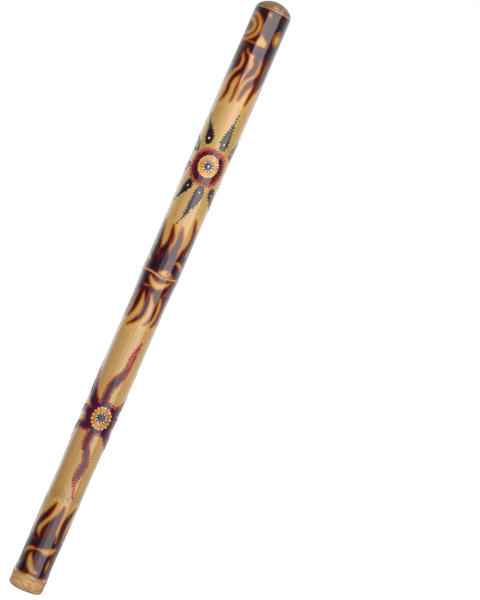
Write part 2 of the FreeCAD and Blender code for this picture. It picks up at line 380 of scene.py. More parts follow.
ARMS = [
    [(310, 6, 7.5), (320, 1, 5.8), (330, -1, 4.8), (340, 0, 4.9), (349, 3, 5.6), (356, 9, 6),
     (362, 14, 5.8), (368, 20, 4.8), (375, 25, 4), (384, 28, 3.6), (394, 28, 3.4), (404, 29, 3),
     (412, 32, 2.2), (419, 36, 1.4), (425, 40, 0.6)],
    [(302, 30, 9), (306, 42, 9), (310, 54, 8.8), (315, 66, 7.6), (321, 78, 5.6), (330, 90, 2.6),
     (340, 98, 0.8)],
    [(295, 34, 9), (294, 50, 9), (293, 66, 8.4), (292, 82, 6), (291, 97, 2)],
    [(284, 26, 8.5), (278, 38, 8.4), (273, 50, 8), (267, 62, 7.2), (260, 74, 5.6), (251, 86, 3),
     (242, 94, 0.8)],
    [(306, -16, 8), (315, -32, 7.6), (322, -43, 7.4), (328, -50, 7.2), (336, -58, 7), (345, -66, 6.2),
     (355, -73, 4.6), (367, -80, 2.4), (378, -85, 0.8)],
    [(298, -26, 8), (299, -40, 5.8), (300, -52, 4.8), (300, -64, 4.2), (299, -77, 3), (298, -90, 1)],
    [(282, -4, 8), (277, -18, 6.4), (276, -32, 6), (275, -46, 5.6), (272, -60, 5), (267, -74, 3.4),
     (259, -88, 1)],
    [(278, 8, 7.5), (270, 2, 5.6), (262, -1, 4.9), (251, -1, 4.9), (244, 3, 4.7), (238, 9, 4.6),
     (232, 14, 4.5), (225, 19, 4.3), (218, 21, 4.6), (212, 19, 5.2), (206, 17, 5.4), (200, 15, 4.6),
     (194, 14, 3.6), (188, 14, 2.4), (182, 16, 1.4), (174, 20, 0.8), (164, 27, 0.4)],
]


DROP_SEED = 8
ARM_SEED = 9
INSIDE_DOTS = (0.8, 0.9)  # the thin paint of drops and arms ends this far inside their outlines


def disc_field(motif, up, around):
    height, angle = motif
    field = np.full_like(HEIGHT, FAR)
    for turn in HALVES:
        field = np.minimum(field, ellipse(height, angle + turn, up, around))
    return field


# Signed distances to each burnt or painted part, negative inside it.
FIELDS = {
    "burnt": np.minimum(np.minimum(top_burn(), middle_burn()), foot_burn()),
    "drops": strokes(DROPS, HALVES, DROP_SEED) + INSIDE_DOTS[0],
    "arms": np.minimum(strokes(ARMS, HALVES, ARM_SEED) + INSIDE_DOTS[1], disc_field(LOWER_MOTIF, 24.0, 26.5)),
    "band_upper": disc_field(UPPER_RING, 27.2, 25.8),
    "disc_upper": disc_field(UPPER_MOTIF, 17.3, 16.3),
    "eye_upper": disc_field(UPPER_MOTIF, 9.2, 9.0),
    "disc_lower": disc_field(LOWER_MOTIF, 18.0, 15.6),
    "eye_lower": disc_field(LOWER_EYE, 8.6, 9.0),
}


PIN_ENDS_FROM = 26.0  # what lies further out than this is the outer end of a pin
PIN_ENDS_APART = 4.0


def pin_places():
    """Height and angle of each pin's outer end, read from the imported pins."""
    places = []
    for name, node in sorted(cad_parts.items()):
        if not name.startswith("pin_turn"):
            continue
        corners = np.empty(len(node.data.vertices) * 3)
        node.data.vertices.foreach_get("co", corners)
        corners = corners.reshape(-1, 3) / MM
        ends = corners[np.hypot(corners[:, 0], corners[:, 1]) > PIN_ENDS_FROM]
        ends = ends[np.argsort(ends[:, 2])]
        for group in np.split(ends, np.flatnonzero(np.diff(ends[:, 2]) > PIN_ENDS_APART) + 1):
            x, y, z = group.mean(0)
            places.append((z, math.degrees(math.atan2(x, -y))))
    return places


def pin_field():
    field = np.full_like(HEIGHT, FAR)
    for height, angle in pin_places():
        field = np.minimum(field, np.hypot(HEIGHT - height, across(ANGLE, angle)))
    return field


def ridge_field():
    """Distance from the middle node's ridge, which fades out beside the bud."""
    return np.abs(HEIGHT - node_ring_height(MIDDLE_NODE)) + 1.3 * np.exp(-(wrapped(ANGLE - 22.0) / 10.0) ** 2)


FIELDS["pins"] = pin_field()
FIELDS["ridge"] = ridge_field()


# ---- materials
# Colours are sRGB, 0 to 255. A material's heights are in metres.

VARNISH_IOR = 1.75
UNDER_VARNISH = 0.12  # what is left of a surface's own gloss under its varnish


class Nodes:
    """A node tree, emptied and built up again."""

    def __init__(self, tree):
        self.tree = tree
        self.tree.nodes.clear()

    def add(self, kind, values=None, **settings):
        node = self.tree.nodes.new(kind)
        for key, value in settings.items():
            setattr(node, key, value)
        for socket, value in (values or {}).items():
            self.feed(node.inputs[socket], value)
        return node

    def feed(self, socket, value):
        if isinstance(value, bpy.types.NodeSocket):
            self.tree.links.new(value, socket)
        else:
            socket.default_value = value

    def math(self, operation, a, b):
        return self.add("ShaderNodeMath", {0: a, 1: b}, operation=operation).outputs[0]

    def spread(self, value, low, high, to_low=0.0, to_high=1.0, smooth=False):
        node = self.add("ShaderNodeMapRange", {"Value": value, "From Min": low, "From Max": high,
                                               "To Min": to_low, "To Max": to_high})
        if smooth:
            node.interpolation_type = "SMOOTHSTEP"
        return node.outputs["Result"]

    def between(self, value, start, full, last, end):
        """1 from full to last, and 0 before start and after end."""
        return self.math("MULTIPLY", self.spread(value, start, full), self.spread(value, last, end, 1.0, 0.0))

    def by_camera_ray(self, otherwise, seen):
        """One shader for what the camera sees itself, and another for light on its way elsewhere."""
        is_seen = self.add("ShaderNodeLightPath").outputs["Is Camera Ray"]
        return self.add("ShaderNodeMixShader", {0: is_seen, 1: otherwise, 2: seen}).outputs[0]


class Material(Nodes):
    """A node material, built up by name."""

    def __init__(self, name):
        self.material = bpy.data.materials.new(name)
        self.material.use_nodes = True
        super().__init__(self.material.node_tree)
        self.coordinates = self.add("ShaderNodeTexCoord").outputs["Object"]

    def height(self):
        return self.add("ShaderNodeSeparateXYZ", {0: self.coordinates}).outputs["Z"]

    def field(self, name):
        return self.add("ShaderNodeAttribute", attribute_name=name).outputs["Fac"]

    def noise(self, place, detail, roughness=0.55, distortion=0.0):
        """Noise at a vector, or over the object's coordinates in metres times three factors."""
        if isinstance(place, tuple):
            place = self.add("ShaderNodeVectorMath", {0: self.coordinates, 1: place},
                             operation="MULTIPLY").outputs[0]
        node = self.add("ShaderNodeTexNoise", {"Vector": place, "Scale": 1.0, "Detail": detail,
                                               "Roughness": roughness, "Distortion": distortion})
        return node.outputs["Fac"]

    def wobble(self, factors, detail, amount):
        """Noise around 0."""
        return self.math("MULTIPLY", self.math("SUBTRACT", self.noise(factors, detail), 0.5), amount)

    def both(self, first, second, share):
        """A weighted sum of two values."""
        return self.math("ADD", self.math("MULTIPLY", first, share), self.math("MULTIPLY", second, 1 - share))

    def ramp(self, value, stops):
        """A colour ramp over 0 to 1, given as (place, sRGB colour)."""
        node = self.add("ShaderNodeValToRGB", {"Fac": value})
        elements = node.color_ramp.elements
        while len(elements) < len(stops):
            elements.new(0.5)
        for element, (place, colour) in zip(elements, stops):
            element.position = place
            element.color = linear(colour)
        return node.outputs["Color"]

    def mix(self, share, first, second):
        """The second colour over the first. The second may be an sRGB colour."""
        if isinstance(second, tuple):
            second = linear(second)
        node = self.add("ShaderNodeMix", data_type="RGBA")
        self.feed(node.inputs["Factor"], share)
        self.feed(node.inputs[6], first)
        self.feed(node.inputs[7], second)
        return node.outputs[2]

    def bump(self, height, distance, strength=1.0, normal=None):
        values = {"Height": height, "Distance": distance, "Strength": strength}
        if normal is not None:
            values["Normal"] = normal
        return self.add("ShaderNodeBump", values).outputs["Normal"]

    def finish(self, surface):
        self.add("ShaderNodeOutputMaterial", {"Surface": surface})
        return self.material

    def varnished(self, colour, roughness, normal, coat=0.0, coat_roughness=0.1, coat_normal=None):
        """Finishes the material as bare wood, or as wood or paint under a coat of varnish."""
        sockets = {"Base Color": colour, "Roughness": roughness, "Normal": normal,
                   "Coat Weight": coat, "Coat Roughness": coat_roughness, "Coat IOR": VARNISH_IOR}
        if coat != 0.0:
            sockets["Specular IOR Level"] = UNDER_VARNISH
        if coat_normal is not None:
            sockets["Coat Normal"] = coat_normal
        return self.finish(self.add("ShaderNodeBsdfPrincipled", sockets).outputs["BSDF"])


def linear(colour):
    """An sRGB colour, 0 to 255 in each channel, as linear RGBA."""
    channels = []
    for value in colour:
        share = value / 255
        channels.append(share / 12.92 if share <= 0.04045 else ((share + 0.055) / 1.055) ** 2.4)
    return (*channels, 1.0)


BARE_BAMBOO = [(0.30, (176, 134, 70)), (0.44, (192, 151, 84)), (0.56, (204, 163, 98)),
               (0.72, (214, 178, 120))]
FOOT_WOOD = [(0.34, (136, 92, 58)), (0.47, (200, 152, 104)), (0.62, (232, 194, 142))]
FIBRE_BROWN = (150, 104, 52)
PINKISH = (206, 154, 108)
OLIVE = (174, 142, 66)
# Colour of the painted shade that darkens the bamboo lower down.
LOWER_PAINTED_SHADE = (158, 118, 62)
SPOT_BROWN = (128, 66, 24)
NODE_SPOTS = (0.146, 0.152, 0.162, 0.172)
FOOT_SPOTS = (0.018, 0.024, 0.030, 0.038)
# Colour of the painted shadow along the bottom edge of the foot.
FOOT_EDGE_PAINTED_SHADOW = (118, 84, 54)
SCRAPED_RIDGE = (198, 166, 104)
PIN_RIM = (96, 58, 30)

BURN_DEPTHS = (-5.0, 15.0)  # distances from a burn's edge at the two ends of its ramp
BURN = [(0.00, (40, 6, 18)), (0.12, (66, 4, 12)), (0.19, (98, 10, 8)), (0.235, (122, 36, 8)),
        (0.275, (156, 86, 22)), (0.34, (182, 124, 46)), (0.42, (200, 150, 74)), (0.60, (206, 162, 94))]
SOOT = [(0.33, (104, 10, 8)), (0.44, (82, 4, 12)), (0.52, (50, 4, 26)), (0.58, (12, 14, 34)),
        (0.64, (44, 6, 22)), (0.72, (92, 6, 14))]
TOP_SOOT = (34, 21, 14)

PLUM = [(0.32, (22, 4, 44)), (0.46, (58, 6, 40)), (0.56, (98, 12, 22)), (0.68, (128, 40, 18))]
NAVY = [(0.32, (28, 12, 64)), (0.46, (50, 14, 54)), (0.58, (84, 16, 34)), (0.70, (104, 30, 34))]
UMBER = [(0.32, (14, 32, 28)), (0.46, (30, 20, 26)), (0.58, (62, 22, 30)), (0.70, (28, 50, 42))]
OCHRE = [(0.32, (142, 78, 26)), (0.50, (186, 116, 40)), (0.68, (214, 156, 76))]
AMBER = [(0.32, (170, 104, 34)), (0.50, (204, 144, 58)), (0.68, (220, 168, 82))]
INK = [(0.30, (34, 16, 20)), (0.55, (52, 22, 20)), (0.75, (90, 40, 24))]
PAINTED = [("drops", UMBER), ("arms", NAVY), ("band_upper", PLUM), ("disc_upper", AMBER), ("eye_upper", INK),
           ("disc_lower", OCHRE), ("eye_lower", INK)]
# Paint smeared round a field's edge: from, to, share at the edge, colour.
SMEARS = [("arms", 1.2, 3.0, 0.50, (176, 44, 50)), ("band_upper", 2.8, 6.8, 0.60, (196, 76, 38))]
ARM_TIPS = (156, 58, 52)


def bare_bamboo(s, height, fine, streaks, scratches, sanded):
    """Pale fibres with blotches, painted shade that makes it darker lower down, spotted by the low nodes,
    sanded at the foot, and a painted shadow along the foot's bottom edge.
    """
    clouds = s.noise((28, 28, 9), detail=3.0)
    tone = s.both(streaks, clouds, 0.65)
    bare = s.ramp(tone, BARE_BAMBOO)
    bare = s.mix(s.spread(fine, 0.35, 0.75, 0.0, 0.22), bare, FIBRE_BROWN)
    blotches = s.noise((42, 42, 16), detail=5.0, roughness=0.62, distortion=0.4)
    bare = s.mix(s.spread(blotches, 0.50, 0.66, 0.0, 0.55), bare, PINKISH)
    bare = s.mix(s.spread(blotches, 0.44, 0.34, 0.0, 0.40), bare, OLIVE)
    # Painted shade: the bamboo is darkened lower down, where less light falls on the stick.
    bare = s.mix(s.spread(height, 0.35, 0.62, 0.16, 0.0), bare, LOWER_PAINTED_SHADE)
    spots = s.spread(s.noise((330, 330, 260), detail=3.0, roughness=0.65), 0.53, 0.60, 0.0, 0.75)
    spotted = s.math("MAXIMUM", s.between(height, *NODE_SPOTS), s.between(height, *FOOT_SPOTS))
    bare = s.mix(s.math("MULTIPLY", spotted, spots), bare, SPOT_BROWN)
    bare = s.mix(sanded, bare, s.ramp(scratches, FOOT_WOOD))
    # Painted shadow: the bottom few millimetres of the foot are darkened.
    return s.mix(s.spread(height, 0.0005, 0.0045, 0.6, 0.0), bare, FOOT_EDGE_PAINTED_SHADOW)


def torch_burns(s, skin, height, scratches):
    """Burns with edges ragged along the fibres, from soot through deep red-brown to a golden scorch."""
    ragged = s.wobble((420, 420, 40), 3.0, 2.2)
    soft = s.wobble((60, 60, 30), 2.0, 2.0)
    depth = s.math("ADD", s.field("burnt"), s.math("ADD", ragged, soft))
    burn = s.ramp(s.spread(depth, *BURN_DEPTHS), BURN)
    worn = s.math("ADD", height, s.spread(scratches, 0.3, 0.7, -0.007, 0.007))
    faded = s.spread(depth, 2.0, 14.0, 1.0, 0.0, smooth=True)
    cover = s.math("MULTIPLY", faded, s.spread(worn, 0.022, 0.026))
    skin = s.mix(cover, skin, burn)
    sooty = s.ramp(s.noise((80, 80, 50), detail=2.0), SOOT)
    sooty = s.mix(s.spread(height, 0.915, 0.935, 0.0, 0.72), sooty, TOP_SOOT)
    deep = s.spread(depth, -4.5, -1.5, 1.0, 0.0)
    return s.mix(s.math("MULTIPLY", deep, 0.9), skin, sooty)


def thin_paint(s, skin, height):
    """Paint brushed on thinly by hand, one field to each colour area."""
    brush = s.wobble((260, 260, 200), 2.0, 0.7)
    mottled = s.noise((150, 150, 110), detail=4.0, roughness=0.6)
    for name, near, far, share, colour in SMEARS:
        smeared = s.spread(s.math("ADD", s.field(name), brush), near, far, share, 0.0, smooth=True)
        skin = s.mix(smeared, skin, colour)
    for name, stops in PAINTED:
        colour = s.ramp(mottled, stops)
        if name == "arms":
            tip = s.math("ADD", s.spread(height, 0.377, 0.390), s.spread(height, 0.186, 0.198, 1.0, 0.0))
            colour = s.mix(tip, colour, ARM_TIPS)
        edge = s.spread(s.math("ADD", s.field(name), brush), -0.35, 0.35, 1.0, 0.0, smooth=True)
        skin = s.mix(edge, skin, colour)
    return skin


def skin_material():
    """Varnished bamboo: fibres, torch burns, painted motifs and traces of the pins."""
    s = Material("bamboo_skin")
    height = s.height()
    fine = s.noise((900, 900, 9), detail=4.0)
    streaks = s.noise((160, 160, 2.2), detail=4.0, distortion=0.3)
    slanting = s.add("ShaderNodeMapping", {"Vector": s.coordinates, "Rotation": (0.0, math.radians(24), 0.0),
                                           "Scale": (90.0, 90.0, 1500.0)}).outputs[0]
    scratches = s.noise(slanting, detail=3.0)
    sanded = s.spread(height, 0.0245, 0.0225)
    skin = bare_bamboo(s, height, fine, streaks, scratches, sanded)
    skin = torch_burns(s, skin, height, scratches)
    skin = thin_paint(s, skin, height)
    skin = s.mix(s.spread(s.field("ridge"), 0.4, 1.4, 0.85, 0.0), skin, SCRAPED_RIDGE)

    # Pins: sanded flush and varnished over, so only a faint rim shows.
    pin_rim = s.between(s.field("pins"), 0.9, 1.25, 1.35, 1.8)
    skin = s.mix(s.math("MULTIPLY", pin_rim, 0.30), skin, PIN_RIM)

    polish = s.noise((45, 45, 25), detail=3.0)
    wear = s.noise((240, 240, 160), detail=4.0)
    roughness = s.math("ADD", s.spread(polish, 0.3, 0.7, 0.28, 0.38), s.spread(wear, 0.4, 0.7, 0.0, 0.08))
    grain = s.bump(fine, 0.00012, 0.5)
    grain = s.bump(streaks, 0.0004, 0.35, grain)
    grain = s.bump(pin_rim, 0.0001, 0.4, grain)
    lacquer = s.bump(s.noise((130, 130, 70), detail=2.0), 0.00012, 0.5)
    varnish = s.math("SUBTRACT", s.spread(sanded, 0.0, 1.0, 1.0, 0.12),
                     s.spread(s.field("arms"), -0.3, 0.3, 0.35, 0.0))
    return s.varnished(skin, roughness, grain, varnish, 0.10, lacquer)


def raw_bamboo_material():
    """The sawn and sanded foot and the walls of the hollow."""
    s = Material("bamboo_raw")
    fibre = s.noise((500, 500, 30), detail=4.0)
    stain = s.noise((60, 60, 40), detail=3.0)
    colour = s.ramp(fibre, [(0.3, (168, 128, 78)), (0.5, (198, 160, 106)), (0.7, (222, 192, 144))])
    colour = s.mix(s.spread(stain, 0.45, 0.7, 0.0, 0.4), colour, (150, 104, 60))
    roughness = s.spread(fibre, 0.3, 0.7, 0.55, 0.75)
    return s.varnished(colour, roughness, s.bump(fibre, 0.0003, 0.6))


def cap_material():
    """Turned reddish hardwood under the same varnish, with fine marks of the lathe."""
    s = Material("cap_hardwood")
    turned = s.noise((70, 70, 1100), detail=3.0)
    grain = s.noise((260, 50, 80), detail=5.0, distortion=0.5)
    pores = s.noise((1300, 220, 300), detail=2.0)
    clouds = s.noise((45, 40, 90), detail=2.0)
    figure = s.both(grain, turned, 0.6)
    colour = s.ramp(figure, [(0.34, (110, 72, 50)), (0.45, (154, 114, 82)), (0.55, (180, 142, 108)),
                             (0.66, (202, 170, 138))])
    colour = s.mix(s.spread(pores, 0.58, 0.72, 0.0, 0.5), colour, (84, 46, 28))
    colour = s.mix(s.spread(clouds, 0.45, 0.65, 0.0, 0.6), colour, (124, 84, 62))
    joint = s.spread(s.height(), 0.981, 0.984, 0.5, 0.0, smooth=True)
    colour = s.mix(joint, colour, (190, 138, 88))
    roughness = s.spread(figure, 0.3, 0.7, 0.28, 0.42)
    normal = s.bump(pores, 0.00012, 0.5, s.bump(turned, 0.0002, 0.5))
    lacquer = s.bump(s.noise((150, 150, 300), detail=2.0), 0.0001, 0.4)
    return s.varnished(colour, roughness, normal, 1.0, 0.13, lacquer)


def paint_material(name, low, high):
    """Thick glossy paint: each dot has its own shade, and its surface is a little uneven."""
    s = Material(name)
    shade = s.both(s.field("shade"), s.noise((700, 700, 700), detail=2.0), 0.6)
    colour = s.ramp(shade, [(0.15, low), (0.85, high)])
    roughness = s.spread(s.noise((900, 900, 900), detail=2.0), 0.3, 0.7, 0.25, 0.4)
    normal = s.bump(s.noise((1400, 1400, 1400), detail=2.0), 0.00008, 0.6)
    return s.varnished(colour, roughness, normal, 0.5, 0.15)


def pin_material():
    s = Material("pin_bamboo_raw")
    fibre = s.noise((700, 700, 700), detail=4.0)
    colour = s.ramp(fibre, [(0.3, (164, 128, 80)), (0.55, (196, 162, 112)), (0.75, (214, 186, 140))])
    roughness = s.spread(fibre, 0.3, 0.7, 0.5, 0.7)
    return s.varnished(colour, roughness, s.bump(fibre, 0.0002, 0.6))


def stone_material():
    s = Material("pebble_stone_worn")
    speckle = s.noise((1300, 1300, 1300), detail=4.0)
    kind = s.noise((110, 110, 140), detail=1.0)
    colour = s.ramp(kind, [(0.34, (92, 84, 76)), (0.46, (132, 120, 102)), (0.56, (158, 140, 112)),
                           (0.68, (112, 96, 88))])
    colour = s.mix(s.spread(speckle, 0.4, 0.7, 0.0, 0.5), colour, (70, 64, 60))
    roughness = s.spread(speckle, 0.3, 0.7, 0.45, 0.7)
    return s.varnished(colour, roughness, s.bump(speckle, 0.0003, 0.7))


# ---- meshes

def mesh_object(name, corners, faces, materials, face_materials=None, fields=None):
    mesh = bpy.data.meshes.new(name)
    mesh.from_pydata((np.asarray(corners) * MM).tolist(), [], faces)
    for material in materials:
        mesh.materials.append(material)
    if face_materials is not None:
        mesh.polygons.foreach_set("material_index", np.asarray(face_materials, np.int32))
    mesh.polygons.foreach_set("use_smooth", np.full(len(mesh.polygons), True))
    for key, values in (fields or {}).items():
        layer = mesh.attributes.new(key, "FLOAT", "POINT")
        layer.data.foreach_set("value", np.asarray(values, np.float32))
    mesh.update()
    piece = bpy.data.objects.new(name, mesh)
    bpy.context.scene.collection.objects.link(piece)
    return piece


SKIN_SLOT, RAW_SLOT = 0, 1


def around_point(radius, height, angle):
    """The place, or row of places, at this radius, height and angle."""
    turn = np.radians(angle)
    return np.stack([radius * np.sin(turn), -radius * np.cos(turn), height + 0 * turn], -1)


def uneven_radius():
    """The culm's skin: the CAD radius with natural swellings and the worked grooves of its nodes."""
    swell = 0.14 * (1 + wave(21, 4, 260)) + 0.05 * (1 + wave(22, 9, 90))
    radius = RADIUS + swell
    for height, rise in NODE_RINGS:
        away = HEIGHT - node_ring_height(height)
        radius += rise * np.exp(-(away / 1.5) ** 2) - 0.6 * rise * np.exp(-((away - 3.4) / 1.3) ** 2)
    radius -= 0.5 * np.exp(-((HEIGHT - CULM_TOP) / 0.8) ** 2)
    foot = np.clip((HEIGHT - 2.0) / 6.0, 0, 1)
    return RADIUS + (radius - RADIUS) * foot


def inner_profile(low, high):
    """(radius, height) down the hollow from high to low."""
    places = [(BORE_RADIUS, high)]
    for height, radius in reversed(LEDGES):
        if low < height < high:
            places += [(BORE_RADIUS, height + 3.0), (radius, height + 1.5), (radius, height - 1.5),
                       (BORE_RADIUS, height - 3.0)]
    places.append((BORE_RADIUS, low))
    return places


def foot_profile(high):
    """The lowest length's inside, in two runs: hollow with closing diaphragm, and the dish under it."""
    hollow = inner_profile(FLOOR_Z, high) + [(12.0, FLOOR_Z), (0.4, FLOOR_Z)]
    sphere = (DISH_RADIUS**2 + DISH_DEPTH**2) / (2 * DISH_DEPTH)
    widest = math.asin(DISH_RADIUS / sphere)
    dish = []
    for step in range(DISH_STEPS + 1):
        angle = widest * (step + 0.05) / (DISH_STEPS + 0.05)
        dish.append((sphere * math.sin(angle), DISH_DEPTH - sphere * (1 - math.cos(angle))))
    return hollow, dish + [(FOOT_RING_RADIUS, 0.0)]


def culm_length(number, low, high, radius, materials):
    """One closed length of the culm: its skin, its end faces and its hollow."""
    rows = np.flatnonzero((row_heights >= low - 1e-6) & (row_heights <= high + 1e-6))
    outside = [(radius[row], row_heights[row]) for row in rows]
    if low == 0.0:
        hollow, dish = foot_profile(high)
    else:
        hollow, dish = inner_profile(low, high), []
    rings = [around_point(reach, height, column_angles) for reach, height in outside + hollow + dish]
    unpainted = [np.full(COLUMNS, FAR)] * len(hollow + dish)
    fields = {name: np.concatenate([*field[rows], *unpainted]) for name, field in FIELDS.items()}
    columns = np.arange(COLUMNS)
    beside = (columns + 1) % COLUMNS
    faces, slots = [], []

    def join(first, second, slot):
        a, b = first * COLUMNS, second * COLUMNS
        faces.extend(np.stack([a + columns, a + beside, b + beside, b + columns], 1).tolist())
        slots.extend([slot] * COLUMNS)

    def close(ring_number, order):
        faces.append((ring_number * COLUMNS + order).tolist())
        slots.append(RAW_SLOT)

    last_outside = len(outside) - 1
    last_hollow = last_outside + len(hollow)
    for ring_number in range(last_hollow):
        join(ring_number, ring_number + 1, SKIN_SLOT if ring_number < last_outside else RAW_SLOT)
    if dish:
        close(last_hollow, columns)
        close(last_hollow + 1, columns[::-1])
        for ring_number in range(last_hollow + 1, last_hollow + len(dish)):
            join(ring_number, ring_number + 1, RAW_SLOT)
    join(len(rings) - 1, 0, RAW_SLOT)
    piece = mesh_object(f"culm_length_{number}", np.concatenate(rings), faces, materials, slots, fields)
    sharpen(piece, 40.0)
    return piece


def make_culm(skin, raw):
    """The culm in five closed lengths that meet end to end."""
    radius = uneven_radius()
    ends = [0.0] + SECTION_CUTS + [CULM_TOP]
    return [culm_length(number, low, high, radius, [skin, raw])
            for number, (low, high) in enumerate(zip(ends, ends[1:]), 1)]


def sharpen(piece, degrees):
    """Marks hard edges, so that shading stays smooth only where the surface is."""
    piece.data.set_sharp_from_angle(angle=math.radians(degrees))


DOME = [(1.00, 0.00), (0.96, 0.34), (0.80, 0.66), (0.52, 0.90), (0.22, 0.99)]  # shares of radius and height
DOME_SIDES = 14
SKIN_SWELL = 0.16  # how far the uneven skin stands outside the CAD radius, on average
DOT_SUNK = 0.12


def make_dots(name, dots, material, seed, stretch):
    """Raised drops of paint. Each dot is (height, angle, radius, direction it is drawn out in)."""
    chance = random.Random(seed)
    corners, faces, shades = [], [], []
    for height, angle, size, way in dots:
        size *= chance.uniform(0.90, 1.10)
        height += chance.uniform(-0.25, 0.25)
        angle += chance.uniform(-0.5, 0.5)
        longer = stretch * chance.uniform(1.0, 1.25)
        thick = size * chance.uniform(0.30, 0.40)
        shade = chance.random()
        base = len(corners)
        skin = skin_radius(height) + SKIN_SWELL
        for share, rise in DOME:
            for side in range(DOME_SIDES):
                turn = 2 * math.pi * side / DOME_SIDES
                along, wide = size * share * math.cos(turn) * longer, size * share * math.sin(turn)
                up = along * math.cos(way) - wide * math.sin(way)
                aside = along * math.sin(way) + wide * math.cos(way)
                local = angle + math.degrees(aside / skin)
                corners.append(around_point(skin - DOT_SUNK + thick * rise, height + up, local))
        corners.append(around_point(skin - DOT_SUNK + thick, height, angle))
        for layer in range(len(DOME) - 1):
            for side in range(DOME_SIDES):
                a = base + layer * DOME_SIDES + side
                b = base + layer * DOME_SIDES + (side + 1) % DOME_SIDES
                faces.append([a, b, b + DOME_SIDES, a + DOME_SIDES])
        tip = len(corners) - 1
        last = base + (len(DOME) - 1) * DOME_SIDES
        for side in range(DOME_SIDES):
            faces.append([last + side, last + (side + 1) % DOME_SIDES, tip])
        faces.append([base + side for side in reversed(range(DOME_SIDES))])
        shades += [shade] * (len(DOME) * DOME_SIDES + 1)
    piece = mesh_object(name, corners, faces, [material], None, {"shade": shades})
    sharpen(piece, 60.0)
    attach(piece, "stick")


def circle_of_dots(turn, motif, up, around, count, size, start):
    """Dots on an ellipse round a motif's centre, each drawn out away from the centre."""
    height, angle = motif
    dots = []
    for number in range(count):
        way = math.radians(start + 360 * number / count)
        z = height + up * math.cos(way)
        aside = around * math.sin(way) / skin_radius(z)
        dots.append((z, angle + turn + math.degrees(aside), size, way))
    return dots


CROWDED = 0.72  # least distance between two outline dots, as a share of their spacing


def outline_dots(shapes, turn, shifts, inside, spacing, size, gap):
    """Dots along both sides of tapering shapes, left out where they would fall inside another one."""
    dots = []
    for points, (nudge, lift) in zip(shapes, shifts):
        curve = spline(points, 0.5)
        curve[:, 0] += lift
        curve[:, 1] += turn + nudge
        radius = skin_radius(curve[:, 0].mean())
        flat = np.stack([np.radians(curve[:, 1]) * radius, curve[:, 0]], 1)
        direction = np.gradient(flat, axis=0)
        direction /= np.hypot(direction[:, 0], direction[:, 1])[:, None] + 1e-9
        normal = np.stack([direction[:, 1], -direction[:, 0]], 1)
        half = curve[:, 2:3] + gap
        left, right = flat - normal * half, flat + normal * half
        side_angles = np.linspace(-math.pi / 2, math.pi / 2, 12)[1:-1]
        round_end = [flat[0] + half[0] * (-direction[0] * math.cos(w) + normal[0] * math.sin(w))
                     for w in side_angles]
        path = np.vstack([left[::-1], round_end, right])
        outward = np.vstack([-normal[::-1], np.array(round_end) - flat[0], normal])
        steps = np.hypot(*np.diff(path, axis=0).T)
        travelled = np.concatenate([[0], np.cumsum(steps)])
        count = max(2, int(round(travelled[-1] / spacing)))
        for where in np.linspace(0, travelled[-1], count + 1):
            x = np.interp(where, travelled, path[:, 0])
            z = np.interp(where, travelled, path[:, 1])
            way = math.atan2(np.interp(where, travelled, outward[:, 0]),
                             np.interp(where, travelled, outward[:, 1]))
            angle = math.degrees(x / radius)
            crowded = any(math.hypot(z - dz, math.radians(wrapped(angle - da)) * radius) < CROWDED * spacing
                          for dz, da, _, _ in dots)
            if crowded or sample(inside, z, angle) < gap + 0.35:
                continue
            dots.append((z, angle, size, way))
    return dots


def sample(field, height, angle):
    """A field's value at one place."""
    row = int(np.clip(np.searchsorted(row_heights, height), 0, len(row_heights) - 1))
    column = int(round((angle % 360.0) / 360.0 * COLUMNS)) % COLUMNS
    return field[row, column]


for length in make_culm(skin_material(), raw_bamboo_material()):
    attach(length, "stick")
    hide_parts("bamboo_culm")

# Circles of dots: piece, motif, half height, half width, count, a dot's radius, direction of the first.
CIRCLES = [
    ("dots_white", UPPER_MOTIF, 7.4, 7.4, 10, 1.25, 8.0),
    ("dots_white", LOWER_EYE, 7.0, 7.6, 10, 1.2, 20.0),
    ("dots_gold", UPPER_MOTIF, 0.0, 0.0, 1, 1.7, 0.0),
    ("dots_gold", UPPER_MOTIF, 16.8, 15.8, 24, 1.45, 0.0),
    ("dots_gold", LOWER_MOTIF, 17.4, 15.0, 17, 1.6, 0.0),
    ("dots_red_upper", UPPER_RING, 28.6, 27.2, 38, 1.75, 0.0),
]
BROKEN_RING = (LOWER_MOTIF, 26.4, 28.6, 42, 1.8, 0.0)
CLEAR_OF_ARMS = 0.3  # dots of the broken ring nearer to an arm than this are left out
DROP_EYE = 1.6
# Outlines: distance between dots, a dot's radius, gap to the shape.
ARM_OUTLINE = (4.4, 1.9, 0.4)
DROP_OUTLINE = (4.9, 1.7, -0.2)
WHITE_PAINT = paint_material("paint_white_thick", (214, 206, 188), (246, 243, 232))
GOLD_PAINT = paint_material("paint_gold_thick", (222, 164, 80), (248, 218, 156))
RED_PAINT = paint_material("paint_red_thick", (126, 12, 18), (190, 56, 44))
GREEN_PAINT = paint_material("paint_green_thick", (12, 42, 36), (44, 98, 78))
# Pieces: name, material, slot, seed, how far the dots are drawn out.
DOT_PIECES = [
    ("dots_white", WHITE_PAINT, "paint_white", 31, 1.0),
    ("dots_gold", GOLD_PAINT, "paint_gold", 32, 1.0),
    ("dots_red_upper", RED_PAINT, "paint_red", 33, 1.45),
    ("dots_red_lower", RED_PAINT, "paint_red", 34, 1.0),
    ("dots_green", GREEN_PAINT, "paint_green", 35, 1.0),
]

